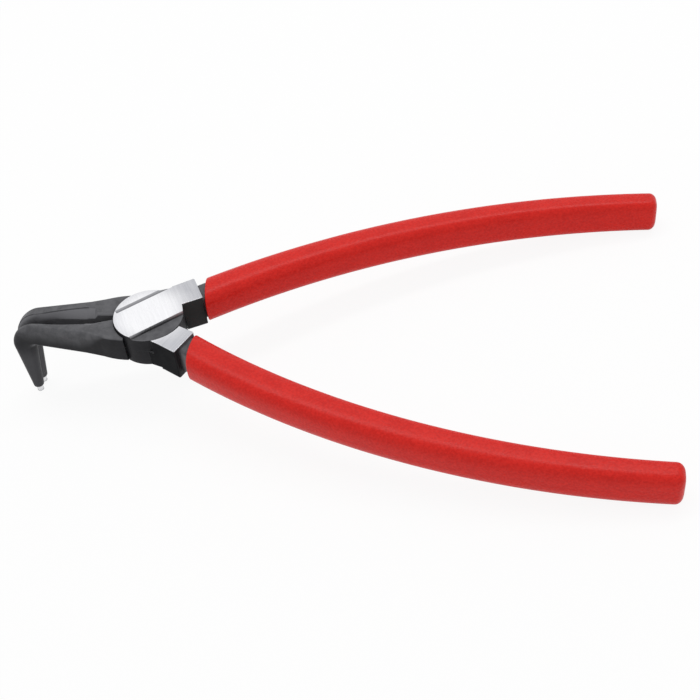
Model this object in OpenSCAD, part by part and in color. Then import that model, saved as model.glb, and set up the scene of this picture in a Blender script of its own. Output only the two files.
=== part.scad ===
// Circlip pliers for external retaining rings, with tips bent down by 90 degrees.
// The pivot axis is Z, the handles point to +X and the far lever lies on the +Y side.
// The origin is where the pivot axis meets the ground underside of the joint.

/* [Joint] */
// Thickness across the two ground faces of the joint
head_t = 9.6; // [9:0.1:11]
// Radius of the round lap discs
disc_r = 9.2; // [8.6:0.1:9.8]
// Gap between the upper disc and the hollow shoulder in the near lever's neck
shoulder_gap = 1.1; // [0.6:0.1:1.4]
// Gap between the lower disc and the hollow shoulder in the far lever's neck
lower_shoulder_gap = 0.3; // [0.3:0.05:1]
// Gap between a disc and the hollow in the other lever's jaw
jaw_hollow_gap = 0.25; // [0.2:0.05:0.6]
// Running gap between the two lap faces
lap_gap = 0.06; // [0.02:0.01:0.2]

/* [Joint face] */
// Direction of the ground band that crosses the disc
band_angle = 39; // [34:1:44]
// Distance from the pivot to the lowered side of the disc
recess_offset = 4.75; // [4.4:0.05:6]
// Depth of the lowered side
recess_depth = 0.95; // [0.4:0.05:1.4]
// Width of the sloped wall beside the lowered side
recess_slope = 0.35; // [0.1:0.05:0.6]
// Distance from the pivot to the groove
groove_offset = 5.25; // [5:0.05:6.2]
// Depth of the groove
groove_depth = 0.8; // [0.4:0.05:1.2]
// Width of the groove's sloped side
groove_ramp = 1.2; // [0.5:0.05:1.4]
// Rim left at the groove's closed end
groove_rim = 1; // [0.6:0.1:1.8]

/* [Neck] */
// Direction of the neck
neck_angle = 26.9; // [24:0.1:29]
// Distance from the pivot to the end of the neck
neck_end = 15; // [14:0.1:17]
// Distance from the pivot to the neck's inner side
neck_inner = 0.3; // [0:0.1:1]
// Distance from the pivot to the neck's outer side
neck_outer = 7.55; // [7:0.05:7.8]
// Distance from the pivot to where the outer side begins to flare
neck_flare_from = 9.4; // [8:0.1:11]
// Extra width at the end of the neck
neck_flare = 0.4; // [0.2:0.1:1]

/* [Handle] */
// Direction of the handle at the mouth of the grip
handle_angle = 32.9; // [31:0.1:34]
// Radius of the handle's curve
handle_r = 232; // [215:1:250]
// Distance from the pivot to the handle's middle line, across the neck
handle_side = 3.6; // [3.4:0.1:4]
// Length of bare tang between the neck and the grip
mouth_gap = 1.8; // [1.7:0.1:4]
// Width of the tang
tang_w = 5.9; // [4.4:0.1:6.2]
// Thickness of the tang
tang_t = 7.8; // [6:0.1:8.2]
// Radius of the tang's edges
tang_edge_r = 1.2; // [1:0.1:2]
// Length of tang buried in the neck
tang_bed = 1.5; // [1:0.1:3]

/* [Grip] */
// Length of the grip along its curve
grip_len = 127.4; // [110:0.1:135]
// Width of the grip at its mouth
grip_w_mouth = 9.8; // [9.4:0.1:11]
// Width of the grip half way along
grip_w_mid = 8.4; // [7.8:0.1:9.2]
// Width of the grip at its end
grip_w_end = 6.8; // [6.6:0.1:8.2]
// Thickness of the grip
grip_t = 10; // [9.6:0.1:11]
// Squareness of the grip's section at its mouth
grip_square_mouth = 2.7; // [2.5:0.1:4]
// Squareness of the grip's section at its end
grip_square_end = 3.6; // [2.4:0.1:5]
// Rounding of the grip's mouth
grip_lip_r = 0.35; // [0.25:0.05:0.7]
// Rounding of the grip's end
grip_end_r = 2.6; // [1.6:0.1:3]
// Slant of the grip's mouth across the handle
grip_slant = 26; // [0:1:26]
// Length over which the slant runs out
grip_slant_len = 24; // [15:1:40]
// Solid length at the closed end of the grip
grip_end_wall = 14; // [10:0.5:24]
// Gap between the grip and its tang
grip_gap = 0.1; // [0.06:0.01:0.2]

/* [Jaw] */
// Gap between the closed jaws at the bend and down the legs
jaw_gap = 0.3; // [0.2:0.05:0.6]
// Half width of the slot between the jaws, from the joint to near the bend
slot_half = 1; // [0.6:0.05:1.2]
// Distance from the pivot to where the slot begins to close
slot_to = 25; // [22:0.1:27]
// Distance from the pivot to the outer face of the bent leg
jaw_reach = 38.5; // [37.6:0.1:42]
// Distance from the pivot to the jaw's root
jaw_root = 5.2; // [5:0.1:5.6]
// Distance from the pivot to where the straight taper begins
jaw_taper_from = 12; // [11:0.1:14]
// Side of the jaw from the tool's middle at the start of the taper
jaw_side_root = 7.4; // [7:0.05:8]
// Side of the jaw from the tool's middle at the bend
jaw_side_bend = 4.3; // [3.9:0.05:4.6]
// Swell of the side where the jaw runs into the joint
jaw_swell = 0.3; // [0:0.05:0.8]
// Height of the jaw's top above the lap plane at the root
jaw_top_root = 3.6; // [3.2:0.1:4.2]
// Height of the jaw's top above the lap plane at the bend
jaw_top_bend = 3.4; // [2.8:0.1:3.8]
// Depth of the jaw's bottom below the lap plane at the root
jaw_bottom_root = 4.3; // [3.8:0.1:4.6]
// Depth of the jaw's bottom below the lap plane at the bend
jaw_bottom_bend = 3.8; // [3.2:0.1:4.2]
// Edge radius at the jaw's root
jaw_edge_root = 0.6; // [0.3:0.1:1]
// Edge radius at the bend
jaw_edge_bend = 1.1; // [1:0.1:1.8]
// Height of the rounded outer top edge at the bend
jaw_round_bend = 3; // [1.8:0.1:3.2]
// Distance from the pivot to where the edges reach these sizes
jaw_edge_to = 17; // [16:0.1:28]

/* [Inner relief] */
// Distance from the pivot to where the far jaw's inner top edge begins to be relieved
far_relief_from = 14.2; // [13:0.1:14.6]
// Distance from the pivot to where the near jaw's inner top edge begins to be relieved
near_relief_from = 9.8; // [9.6:0.1:11]
// Distance from the pivot to where both reliefs are widest
relief_full = 15.2; // [15:0.1:16]
// Upper edge of the far relief from the tool's middle, where it is widest
far_relief_side = 3.5; // [3:0.05:3.8]
// Upper edge of the far relief from the tool's middle, at the bend
far_relief_bend = 0.8; // [0.5:0.05:1.8]
// Depth of the far relief
far_relief_depth = 1.75; // [1.5:0.05:3]
// Edge radius of the far jaw where its relief begins
far_relief_edge = 0.6; // [0.2:0.05:0.8]
// Upper edge of the near relief from the tool's middle, where it is widest
near_relief_side = 3.1; // [3:0.05:4.2]
// Upper edge of the near relief from the tool's middle, at the bend
near_relief_bend = 2.85; // [1.2:0.05:2.9]
// Depth of the near relief where it is widest
near_relief_depth = 1.7; // [1.5:0.05:3]
// Depth of the near relief at the bend
near_relief_depth_bend = 2.75; // [1.5:0.05:3]
// Edge radius of the near jaw where its relief begins
near_relief_edge = 0.2; // [0.2:0.05:0.8]
// Squareness of the reliefs, where 1 is a flat bevel and 2 is a round
relief_square = 1.2; // [1:0.1:2]
// Bow of the upper edges between the ground flat's end and the bend
relief_bow = 1.3; // [1:0.1:2]
// Distance from the pivot to the end of the ground flat
flat_end = 17.4; // [16.6:0.1:19]
// Depth of the ground flat's edge
flat_step = 0.3; // [0.1:0.05:0.4]

/* [Leg] */
// Squareness of the outside of the bend
bend_square = 1.72; // [1.5:0.05:3]
// Radius inside the bend
bend_inner_r = 1.3; // [0.8:0.1:2]
// Thickness of the leg just below the bend
leg_root_t = 6.2; // [5:0.1:6.8]
// Side of the leg from the tool's middle just below the bend
leg_root_side = 3.6; // [3.4:0.05:3.9]
// Depth of the leg's end below the lap plane
leg_depth = 21.2; // [16:0.1:26]
// Diameter of the leg's end
leg_end_d = 2.85; // [2.7:0.05:3.1]
// Rounding of the leg's end
leg_end_r = 0.35; // [0.1:0.05:0.4]

/* [Tip pins] */
// Distance from the leg's outer face at the bend back to the tip pins
tip_inset = 2.6; // [2:0.05:3.2]
// Distance between the tip pins with the jaws closed
tip_spacing = 3.48; // [3.3:0.02:3.8]
// Diameter of the working end
tip_d = 1.8; // [1.5:0.05:1.9]
// Length of the working end
tip_len = 2.2; // [1.5:0.1:3]
// Bevel at the working end
tip_bevel = 0.25; // [0.1:0.05:0.4]
// Diameter of the shank inside the leg
tip_shank_d = 1.3; // [1.1:0.05:1.4]
// Length of the shank inside the leg
tip_shank_len = 5; // [3:0.5:8]

/* [Pivot pin] */
// Diameter of the pivot pin
pin_d = 6.4; // [5.6:0.1:6.8]
// Diameter of its countersunk head
pin_head_d = 9; // [8:0.1:9.4]
// Height of its head
pin_head_t = 1.4; // [1:0.1:1.6]
// Depth of the head below the underside
pin_head_sink = 0.1; // [0.05:0.05:0.3]
// Metal left above the pin in the far lever
pin_cover = 1.3; // [1.15:0.05:1.8]
// Running gap round the pin in the near lever
pin_gap = 0.03; // [0.02:0.01:0.08]
// Gap round pieces that are set tight
set_gap = 0.01; // [0.005:0.005:0.02]

/* [Return spring] */
// Diameter of the spring wire
wire_d = 0.8; // [0.6:0.05:0.85]
// Mean diameter of the coil
coil_d = 8.6; // [8.4:0.1:9]
// Number of turns
coil_turns = 2.25; // [1.25:0.25:2.25]
// Length of each straight leg
spring_leg = 4; // [3:0.1:4.5]
// Gap round the spring in its chamber
spring_gap = 0.08; // [0.05:0.01:0.15]
// Depth of the spring chamber in each lever
chamber_depth = 1.5; // [1.45:0.05:1.6]

/* [Hidden] */
$fn = 64;

steel_dark = "#3a3a3e";
steel_bright = "#c9ccd2";
grip_red = "#d63234";

// Reach of cutters past the surface that they cut
over = 1;
mid_z = head_t / 2;
cut_reach = disc_r + over;
pin_r = pin_d / 2;
// Turn of the disc that hides its start line in the neck
seam_turn = 10;

// Directions along and across the neck
neck_u = [cos(neck_angle), sin(neck_angle)];
neck_v = [-sin(neck_angle), cos(neck_angle)];

// The handle's arc starts at the mouth of the grip
mouth = (neck_end + mouth_gap) * neck_u + handle_side * neck_v;
arc_centre = mouth + handle_r * [sin(handle_angle), -cos(handle_angle)];
function arc_turn(length) = length / handle_r * 180 / PI;
function handle_dir(s) = handle_angle - arc_turn(s);
tang_root = mouth_gap + tang_bed;

// Points of the bend: the corner that its sections turn about
bend_a = jaw_reach - leg_root_t - bend_inner_r;
bend_z = -jaw_bottom_bend - bend_inner_r;
bend_high = jaw_top_bend - bend_z;
bend_far = jaw_reach - bend_a;
tip_reach = jaw_reach - tip_inset;
tip_y = tip_spacing / 2;
leg_end_z = -leg_depth;

// The spring's wire lies between the floors of its two chambers
coil_r = coil_d / 2;
coil_half = chamber_depth - spring_gap - wire_d / 2;
chamber_r = coil_r + wire_d / 2 + spring_gap * 2;

function lerp(a, b, t) = a + (b - a) * t;
function clamp(t) = max(0, min(1, t));
function part_of(a, from, to) = clamp((a - from) / (to - from));

// Closed solid through a row of rings that have equal numbers of points
module loft(rings) {
    n = len(rings[0]);
    m = len(rings);
    points = [for (ring = rings) each ring];
    sides = [for (i = [0:m - 2], j = [0:n - 1])
        let (k = (j + 1) % n)
        each [
            [i * n + j, i * n + k, (i + 1) * n + k],
            [i * n + j, (i + 1) * n + k, (i + 1) * n + j]
        ]];
    first = [for (j = [n - 1:-1:0]) j];
    last = [for (j = [0:n - 1]) (m - 1) * n + j];
    polyhedron(points, concat(sides, [first, last]));
}

// Rounded rectangle that stays exact when it is revolved or extruded
module rounded_square(w, h, r) {
    square([w - 2 * r, h], center = true);
    square([w, h - 2 * r], center = true);
    for (x = [-1, 1], y = [-1, 1])
        translate([x * (w / 2 - r), y * (h / 2 - r)])
            circle(r);
}

// Bar along the handle's arc, from one distance past the mouth to another
module handle_bar(from, to, w, t, r) {
    translate([arc_centre.x, arc_centre.y, 0])
        rotate([0, 0, 90 + handle_dir(to)])
            rotate_extrude(angle = arc_turn(to - from), $fn = 360)
                translate([handle_r, 0])
                    rounded_square(w, t, r);
}

// Side of the jaw at a distance ahead of the pivot
function jaw_side(a) =
    let (t = (a - jaw_taper_from) / (bend_a - jaw_taper_from))
    let (s = (a - (jaw_root + jaw_taper_from) / 2) / ((jaw_taper_from - jaw_root) / 2))
    lerp(jaw_side_root, jaw_side_bend, t) + jaw_swell * max(0, 1 - s * s);
function jaw_top(a) = lerp(jaw_top_root, jaw_top_bend, part_of(a, jaw_root, bend_a));
function jaw_bottom(a) = -lerp(jaw_bottom_root, jaw_bottom_bend, part_of(a, jaw_root, bend_a));
function jaw_edge(a) = lerp(jaw_edge_root, jaw_edge_bend, part_of(a, jaw_taper_from, jaw_edge_to));
function jaw_round(a) = lerp(jaw_edge_root, jaw_round_bend, part_of(a, jaw_taper_from, jaw_edge_to));
function jaw_inner(a) = lerp(slot_half, jaw_gap / 2, (1 - cos(180 * part_of(a, slot_to, bend_a))) / 2);

// Width, depth and squareness of the relieved inner top edge. Its form lists where it
// begins, its upper edge at both ends, its depth at both ends and the edge radius where
// it begins. It never takes the whole of the jaw's top.
far_relief = [far_relief_from, far_relief_side, far_relief_bend,
    far_relief_depth, far_relief_depth, far_relief_edge];
near_relief = [near_relief_from, near_relief_side, near_relief_bend,
    near_relief_depth, near_relief_depth_bend, near_relief_edge];
function relief(a, form) =
    let (t = pow(part_of(a, flat_end, bend_a), relief_bow))
    let (upper = min(lerp(form[1], form[2], t), jaw_side(a) - jaw_edge(a) - flat_step))
    let (full = [upper - jaw_inner(a), lerp(form[3], form[4], t), relief_square])
    lerp([form[5], form[5], relief_square], full, part_of(a, form[0], relief_full));

// Corner of a section: an arc about a centre, through a quarter turn
corner_steps = 6;
function corner(c, r, from, steps = corner_steps) = oval_corner(c, [r, r], from, steps);
function oval_corner(c, r, from, steps = corner_steps, square = 2) =
    [for (i = [0:steps])
        let (t = from + 90 * i / steps)
        c + [r.x * round_cos(cos(t), square), r.y * round_cos(sin(t), square)]];
function round_cos(c, square) = sign(c) * pow(abs(c), 2 / square);

// Section of the jaw across its length, as points of width and height.
// The outer top edge has its own height. The relieved inner top edge has a width,
// a depth and a squareness, and ends in a fine step.
step_lean = 0.3;
function section(inner, outer, low, high, relieved, edge, round, step) = concat(
    oval_corner([outer - edge, high - round], [edge, round], 0),
    [[inner + relieved.x + step * step_lean, high]],
    oval_corner([inner + relieved.x, high - step - relieved.y], relieved, 90, corner_steps, relieved.z),
    corner([inner + edge, low + edge], edge, 180),
    corner([outer - edge, low + edge], edge, 270)
);

// Sections of the straight jaw, of the bend and of the leg, as rings in space
hairline = 0.02;
function straight_ring(a, form) =
    let (step = a > flat_end ? flat_step : hairline)
    [for (p = section(jaw_inner(a), jaw_side(a), jaw_bottom(a), jaw_top(a),
            relief(a, form), jaw_edge(a), jaw_round(a), step))
        [-a, p.x, p.y]];
function bend_reach(t) =
    pow(pow(sin(t) / bend_far, bend_square) + pow(cos(t) / bend_high, bend_square), -1 / bend_square);
function bend_ring(t, form) =
    let (side = lerp(jaw_side_bend, leg_root_side, t / 90))
    let (leg_edge = leg_root_side / 2 - jaw_gap / 2)
    let (edge = lerp(jaw_edge_bend, leg_edge, t / 90))
    let (round = lerp(jaw_round_bend, leg_edge, t / 90))
    let (relieved = lerp(relief(bend_a, form), [leg_edge, leg_edge, 2], t / 90))
    let (step = lerp(flat_step, hairline, t / 90))
    [for (p = section(jaw_gap / 2, side, bend_inner_r, bend_reach(t), relieved, edge, round, step))
        [-bend_a - p.y * sin(t), p.x, bend_z + p.y * cos(t)]];
function leg_ring(t, inset, drop) =
    let (r = leg_end_d / 2)
    let (inner = lerp(jaw_gap / 2, tip_y - r, t) + inset)
    let (outer = lerp(leg_root_side, tip_y + r, t) - inset)
    let (back = lerp(bend_a + bend_inner_r, tip_reach - r, t) + inset)
    let (front = lerp(jaw_reach, tip_reach + r, t) - inset)
    let (half = min(outer - inner, front - back) / 2 - hairline)
    let (edge = min(half, lerp(leg_root_side / 2 - jaw_gap / 2, half, t)))
    [for (p = section(inner, outer, back, front, [edge, edge, 2], edge, edge, hairline))
        [-p.y, p.x, lerp(bend_z, leg_end_z + leg_end_r, t) - drop]];

root_steps = 4;
relief_steps = 3;
straight_steps = 7;
bend_steps = 10;
leg_steps = 6;
end_steps = 3;
function jaw_rings(form) = concat(
    [for (i = [0:root_steps - 1]) straight_ring(lerp(jaw_root, form[0], i / root_steps), form)],
    [for (i = [0:relief_steps]) straight_ring(lerp(form[0], relief_full, i / relief_steps), form)],
    [straight_ring(flat_end - flat_step, form), straight_ring(flat_end + hairline, form)],
    [for (i = [1:straight_steps]) straight_ring(lerp(flat_end, bend_a, i / straight_steps), form)],
    [for (i = [1:bend_steps]) bend_ring(90 * i / bend_steps, form)],
    [for (i = [1:leg_steps]) leg_ring(i / leg_steps, 0, 0)],
    [for (i = [1:end_steps])
        let (t = 90 * i / end_steps)
        leg_ring(1, leg_end_r * (1 - cos(t)), leg_end_r * sin(t))]
);

// One jaw on the +Y side with its bent leg, drilled for its tip pin.
// Its root is hollowed for the other lever's disc, above or below the lap plane.
module jaw(form, hollow_above) {
    difference() {
        loft(jaw_rings(form));
        translate([-tip_reach, tip_y, leg_end_z - over])
            cylinder(h = tip_shank_len + set_gap + over, d = tip_shank_d + 2 * set_gap);
        mirror([0, 0, hollow_above ? 1 : 0])
            shoulder(disc_r + jaw_hollow_gap);
    }
}

// Hollow for the other lever's disc, below the lap plane
module shoulder(r) {
    translate([0, 0, -mid_z - over])
        cylinder(h = mid_z + over + lap_gap / 2, r = r);
}

// Neck between the joint and the tang, as an outline
module neck_outline() {
    rotate([0, 0, neck_angle])
        polygon([
            [0, -neck_inner],
            [neck_end, -neck_inner],
            [neck_end, neck_outer + neck_flare],
            [neck_flare_from, neck_outer],
            [0, neck_outer]
        ]);
}

// Cuts in the ground face of the joint, with the face at the given height
module face_cuts(top) {
    rotate([0, 0, band_angle]) {
        // lowered side of the disc, with its sloped wall
        rotate([90, 0, 90])
            translate([0, 0, -cut_reach])
                linear_extrude(2 * cut_reach)
                    polygon([
                        [-recess_offset + recess_slope * over / recess_depth, top + over],
                        [-cut_reach, top + over],
                        [-cut_reach, top - recess_depth],
                        [-recess_offset - recess_slope, top - recess_depth]
                    ]);
        // groove with a steep wall beside the band and a sloped wall beyond it
        groove_half = sqrt(pow(disc_r, 2) - pow(groove_offset, 2)) - groove_rim;
        rotate([90, 0, 90])
            translate([0, 0, -groove_half])
                linear_extrude(groove_half + cut_reach)
                    polygon([
                        [groove_offset, top + over],
                        [groove_offset, top - groove_depth],
                        [groove_offset + groove_ramp * (1 + over / groove_depth), top + over]
                    ]);
    }
}

// Tangential slot for a leg of the spring, from the coil outwards
module spring_slot(angle, way) {
    width = wire_d + 2 * spring_gap;
    rotate([0, 0, angle])
        translate([coil_r - width / 2, way > 0 ? 0 : -spring_leg - spring_gap, 0])
            cube([width, spring_leg + spring_gap, chamber_depth]);
}

// Half of the joint that carries the upper disc: disc, neck and tang, about the lap plane
module lever_blank(shoulder_r, slot_angle, slot_way) {
    difference() {
        union() {
            rotate([0, 0, neck_angle + seam_turn])
                cylinder(h = mid_z, r = disc_r);
            translate([0, 0, -mid_z])
                linear_extrude(head_t)
                    neck_outline();
            handle_bar(-tang_root, grip_len - grip_end_wall - grip_gap, tang_w, tang_t, tang_edge_r);
        }
        shoulder(shoulder_r);
        face_cuts(mid_z);
        cylinder(h = chamber_depth, r = chamber_r);
        spring_slot(slot_angle, slot_way);
    }
}

// Where the spring's legs leave the coil, and the slots that hold them
coil_end = 360 * coil_turns;

// Upper forged half, bored blind for the pivot pin
module far_lever() {
    color(steel_dark)
        translate([0, 0, mid_z]) {
            difference() {
                lever_blank(disc_r + lower_shoulder_gap, coil_end, 1);
                cylinder(h = mid_z - pin_cover, r = pin_r + set_gap);
            }
            jaw(far_relief, false);
        }
}

// Lower forged half: the same blank turned over, bored through and countersunk
module near_lever() {
    color(steel_dark)
        translate([0, 0, mid_z]) {
            difference() {
                rotate([180, 0, 0])
                    lever_blank(disc_r + shoulder_gap, 0, 1);
                translate([0, 0, -mid_z])
                    pin_shape(pin_gap, over);
            }
            mirror([0, 1, 0])
                jaw(near_relief, true);
        }
}

// Pivot pin from the underside upwards, grown by a gap and lengthened below.
// Its countersunk head is a cone that would end at the underside.
head_lean = (pin_head_d - pin_d) / 2 / pin_head_t;
module pin_shape(gap, below) {
    translate([0, 0, -below]) {
        cylinder(h = head_t - pin_cover - set_gap + below, r = pin_r + gap);
        cylinder(h = pin_head_t + below, r1 = pin_head_d / 2 + gap + below * head_lean, r2 = pin_r + gap);
    }
}

// Headed pin that holds the two halves together
module pivot_pin() {
    color(steel_bright)
        intersection() {
            pin_shape(0, 0);
            translate([0, 0, pin_head_sink])
                cylinder(h = head_t, d = pin_head_d);
        }
}

// Torsion spring with one tangential leg in each lever
wire_sides = 8;
coil_steps = 40;
function wire_ring(angle, along, z) =
    let (out = [cos(angle), sin(angle)])
    let (c = coil_r * out + along * [-sin(angle), cos(angle)])
    [for (i = [0:wire_sides - 1])
        let (t = 360 * i / wire_sides)
        let (p = c + wire_d / 2 * cos(t) * out)
        [p.x, p.y, z + wire_d / 2 * sin(t)]];
module return_spring() {
    color(steel_bright)
        translate([0, 0, mid_z])
            loft(concat(
                [wire_ring(0, -spring_leg, -coil_half)],
                [for (i = [0:coil_steps])
                    wire_ring(coil_end * i / coil_steps, 0, lerp(-coil_half, coil_half, i / coil_steps))],
                [wire_ring(coil_end, spring_leg, coil_half)]
            ));
}

// Tip pin: a shank set in the leg and a finer working end below it
module tip() {
    translate([-tip_reach, tip_y, mid_z + leg_end_z]) {
        cylinder(h = tip_shank_len, d = tip_shank_d);
        translate([0, 0, -tip_len + tip_bevel])
            cylinder(h = tip_len - tip_bevel, d = tip_d);
        translate([0, 0, -tip_len])
            cylinder(h = tip_bevel, d1 = tip_d - 2 * tip_bevel, d2 = tip_d);
    }
}

module far_tip() {
    color(steel_bright)
        tip();
}

module near_tip() {
    color(steel_bright)
        mirror([0, 1, 0])
            tip();
}

// Section of the grip at a distance from its mouth, rounded in at both ends
corner_points = 9;
grip_sides = 4 * corner_points;
function grip_half_w(s) =
    let (t = s / grip_len)
    let (bow = 4 * grip_w_mid - 2 * (grip_w_mouth + grip_w_end))
    (lerp(grip_w_mouth, grip_w_end, t) + bow * t * (1 - t)) / 2;
function round_in(r, d) = d >= r ? 0 : r - sqrt(r * r - (r - d) * (r - d));
function on_handle(s, across, z) =
    let (slant = across * tan(grip_slant) * max(0, 1 - s / grip_slant_len))
    let (turn = 90 + handle_dir(s + slant))
    [arc_centre.x + (handle_r + across) * cos(turn), arc_centre.y + (handle_r + across) * sin(turn), z];
function grip_ring(s) =
    let (inset = round_in(grip_lip_r, s) + round_in(grip_end_r, grip_len - s))
    let (square = lerp(grip_square_mouth, grip_square_end, s / grip_len))
    [for (i = [0:grip_sides - 1])
        let (t = 360 * i / grip_sides)
        on_handle(s, (grip_half_w(s) - inset) * round_cos(cos(t), square),
            (grip_t / 2 - inset) * round_cos(sin(t), square))];

// Section of the cavity that takes the tang
function cavity_ring(s) =
    let (r = tang_edge_r + grip_gap)
    let (w = tang_w / 2 - tang_edge_r)
    let (h = tang_t / 2 - tang_edge_r)
    [for (p = concat(
            corner([w, h], r, 0, corner_points - 1),
            corner([-w, h], r, 90, corner_points - 1),
            corner([-w, -h], r, 180, corner_points - 1),
            corner([w, -h], r, 270, corner_points - 1)))
        on_handle(s, p.x, p.y)];

// Plastic sleeve over the tang: the outside from its closed end to its mouth, then the cavity
grip_steps = 22;
cavity_steps = 16;
round_steps = 4;
cavity_len = grip_len - grip_end_wall;
grip_rings = concat(
    [for (i = [0:round_steps - 1])
        grip_ring(grip_len - grip_end_r * (1 - cos(90 * i / round_steps)))],
    [for (i = [0:grip_steps]) grip_ring(lerp(grip_len - grip_end_r, grip_lip_r, i / grip_steps))],
    [for (i = [1:round_steps]) grip_ring(grip_lip_r * (1 - sin(90 * i / round_steps)))],
    [for (i = [0:cavity_steps]) cavity_ring(cavity_len * i / cavity_steps)]
);

module grip() {
    loft(grip_rings);
}

module far_grip() {
    color(grip_red)
        translate([0, 0, mid_z])
            grip();
}

module near_grip() {
    color(grip_red)
        translate([0, 0, mid_z])
            mirror([0, 1, 0])
                grip();
}

far_lever();
near_lever();
pivot_pin();
return_spring();
far_tip();
near_tip();
far_grip();
near_grip();
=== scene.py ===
import math
from typing import NamedTuple

import bmesh
import bpy
from mathutils import Matrix, Vector


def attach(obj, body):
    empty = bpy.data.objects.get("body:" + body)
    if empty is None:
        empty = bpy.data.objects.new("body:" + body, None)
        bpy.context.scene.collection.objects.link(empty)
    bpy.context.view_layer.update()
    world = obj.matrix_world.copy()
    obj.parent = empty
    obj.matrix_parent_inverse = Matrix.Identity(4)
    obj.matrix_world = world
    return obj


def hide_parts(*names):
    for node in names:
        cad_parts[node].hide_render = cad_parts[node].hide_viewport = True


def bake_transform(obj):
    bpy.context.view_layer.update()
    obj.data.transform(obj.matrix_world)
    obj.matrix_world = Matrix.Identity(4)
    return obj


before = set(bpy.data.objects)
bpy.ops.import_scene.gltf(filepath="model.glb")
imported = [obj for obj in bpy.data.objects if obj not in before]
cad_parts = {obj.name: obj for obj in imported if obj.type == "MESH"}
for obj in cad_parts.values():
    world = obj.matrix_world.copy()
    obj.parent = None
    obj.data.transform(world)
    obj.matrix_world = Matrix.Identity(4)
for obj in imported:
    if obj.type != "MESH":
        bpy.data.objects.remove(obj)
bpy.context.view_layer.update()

MM = 0.001

# Camera fitted to the outlines in the photograph: its place in mm, its turn in degrees
CAMERA_PLACE = (94.5546, -231.7223, 234.2802)
CAMERA_AZIMUTH = -10.3284
CAMERA_ELEVATION = 45.1925
CAMERA_ROLL = -6.5135
CAMERA_FOCAL_PIXELS = 1269.249
IMAGE_PIXELS = 700
SENSOR_WIDTH = 36
# In metres
CLIP_START = 0.01

# Sizes as in the part, in mm and degrees. Joint:
HEAD_T = 9.6
DISC_R = 9.2
SHOULDER_GAP = 1.1
JAW_HOLLOW_GAP = 0.25
LAP_GAP = 0.06
BAND_ANGLE = 39
RECESS_OFFSET = 4.75
RECESS_DEPTH = 0.95
RECESS_SLOPE = 0.35
GROOVE_OFFSET = 5.25
GROOVE_DEPTH = 0.8
GROOVE_RAMP = 1.2
GROOVE_RIM = 1.0
# Neck and handle
NECK_ANGLE = 26.9
NECK_END = 15
NECK_INNER = 0.3
NECK_OUTER = 7.55
NECK_FLARE_FROM = 9.4
NECK_FLARE = 0.4
HANDLE_ANGLE = 32.9
HANDLE_R = 232
HANDLE_SIDE = 3.6
MOUTH_GAP = 1.8
TANG_W = 5.9
TANG_T = 7.8
TANG_EDGE_R = 1.2
TANG_BED = 1.5
# Grip
GRIP_LEN = 127.4
GRIP_W_MOUTH = 9.8
GRIP_W_MID = 8.4
GRIP_W_END = 6.8
GRIP_T = 10
GRIP_SQUARE_MOUTH = 2.7
GRIP_SQUARE_END = 3.6
GRIP_LIP_R = 0.35
GRIP_SLANT = 26
GRIP_SLANT_LEN = 24
GRIP_END_WALL = 14
GRIP_GAP = 0.1
# Jaw and leg
JAW_GAP = 0.3
SLOT_HALF = 1.0
SLOT_TO = 25
JAW_REACH = 38.5
JAW_ROOT = 5.2
JAW_TAPER_FROM = 12
JAW_SIDE_ROOT = 7.4
JAW_SIDE_BEND = 4.3
JAW_SWELL = 0.3
JAW_TOP_ROOT = 3.6
JAW_TOP_BEND = 3.4
JAW_BOTTOM_ROOT = 4.3
JAW_BOTTOM_BEND = 3.8
JAW_EDGE_ROOT = 0.6
JAW_EDGE_BEND = 1.1
JAW_ROUND_BEND = 3.0
JAW_EDGE_TO = 17


class Relief(NamedTuple):
    """Relieved inner top edge of a jaw."""

    start: float  # distance from the pivot where it begins
    upper: float  # its upper edge from the middle plane, where it is widest
    upper_bend: float  # and at the bend
    depth: float  # its depth where it is widest
    depth_bend: float  # and at the bend
    edge: float  # radius of the edge that it begins from


FAR_RELIEF = Relief(14.2, 3.5, 0.8, 1.75, 1.75, 0.6)
NEAR_RELIEF = Relief(9.8, 3.1, 2.85, 1.7, 2.75, 0.2)
RELIEF_SQUARE = 1.2
RELIEF_BOW = 1.3
RELIEF_FULL = 15.2
FLAT_END = 17.4
FLAT_STEP = 0.3
STEP_LEAN = 0.3
BEND_SQUARE = 1.72
BEND_INNER_R = 1.3
LEG_ROOT_T = 6.2
LEG_ROOT_SIDE = 3.6
LEG_DEPTH = 21.2
LEG_END_D = 2.85
LEG_END_R = 0.35
TIP_INSET = 2.6
TIP_SPACING = 3.48
TIP_SHANK_D = 1.3
TIP_SHANK_LEN = 5
# Pin and spring
PIN_D = 6.4
PIN_HEAD_D = 9
PIN_HEAD_T = 1.4
PIN_COVER = 1.3
PIN_GAP = 0.03
SET_GAP = 0.01
WIRE_D = 0.8
COIL_D = 8.6
COIL_TURNS = 2.25
SPRING_LEG = 4
SPRING_GAP = 0.08
CHAMBER_DEPTH = 1.5

# Where the scene departs from the part: a closer shoulder on the far lever, tighter ends of the
# grips, broken edges of the joint and rounded corners of the neck
LOWER_SHOULDER_GAP = 0.15
GRIP_END_R = 2.0
EDGE_BREAK = 0.14
NECK_CORNER_R = 0.35
# Fineness of the curves
ROUND_STEPS = 3
DISC_STEPS = 192
CORNER_STEPS = 10
NECK_CORNER_STEPS = 4
TANG_SIDES = 40
TANG_STEPS = 48
GRIP_SIDES = 80
GRIP_STEPS = 90
GRIP_END_STEPS = 8
CAVITY_STEPS = 40
WIRE_SIDES = 16
COIL_STEPS = 144
# The jaw's steps up to its relief, to the relief's full width, to the step and to the bend
JAW_STEPS = (10, 10, 5, 24)
BEND_STEPS = 30
LEG_STEPS = 14
LEG_END_STEPS = 6
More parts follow.
